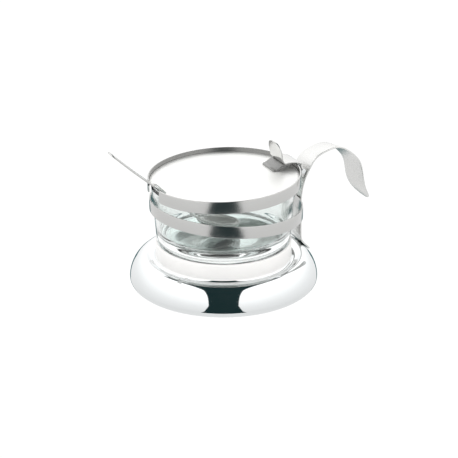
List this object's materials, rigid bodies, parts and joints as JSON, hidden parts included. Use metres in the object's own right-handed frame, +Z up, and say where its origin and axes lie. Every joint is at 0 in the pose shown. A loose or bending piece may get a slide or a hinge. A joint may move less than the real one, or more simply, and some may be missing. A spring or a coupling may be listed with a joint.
{
  "type": "sugar bowl",
  "caption": "Glass sugar cup on a spun steel base, with a holder ring, a bent strip handle, a hinged steel lid with a spoon notch, and a spoon.",
  "frame": {"origin": "centre of the underside, on the surface that the bowl stands on", "axes": "+Z up, +X from the bowl's centre towards the handle, so the spoon notch is at -X"},
  "size_m": [0.1946, 0.1298, 0.105],
  "materials": {
    "polished_steel": "mirror polished stainless steel",
    "satin_steel": "satin stainless steel, fine grain along the strips and bands",
    "glass": "clear pressed glass, faint blue-green in its thickness",
    "rubber": "matt black rubber"
  },
  "bodies": {
    "stand": {"base_shell": "polished_steel", "closing_plate": "satin_steel", "non_slip_ring": "rubber", "holder_ring": "satin_steel", "handle_strip": "satin_steel", "hinge_bracket": "satin_steel", "hinge_pin": "polished_steel"},
    "lid": {"lid_plate": "polished_steel", "lid_band": "satin_steel", "lid_strap": "satin_steel", "strap_leg": "satin_steel"},
    "glass": {"glass_bowl": "glass"},
    "spoon": {"spoon": "satin_steel"}
  },
  "joints": [
    {"name": "lid_hinge", "type": "hinge", "parent": "stand", "child": "lid", "pos_m": [0.0566, 0, 0.0746], "axis": [0, 1, 0], "range_deg": [0, 60]},
    {"name": "glass_turn", "type": "hinge", "parent": "stand", "child": "glass", "pos_m": [0, 0, 0.0315], "axis": [0, 0, 1], "continuous": true},
    {"name": "spoon_slide", "type": "slide", "parent": "stand", "child": "spoon", "axis": [-0.7547, 0, 0.6561], "range_m": [0, 0.03]}
  ]
}
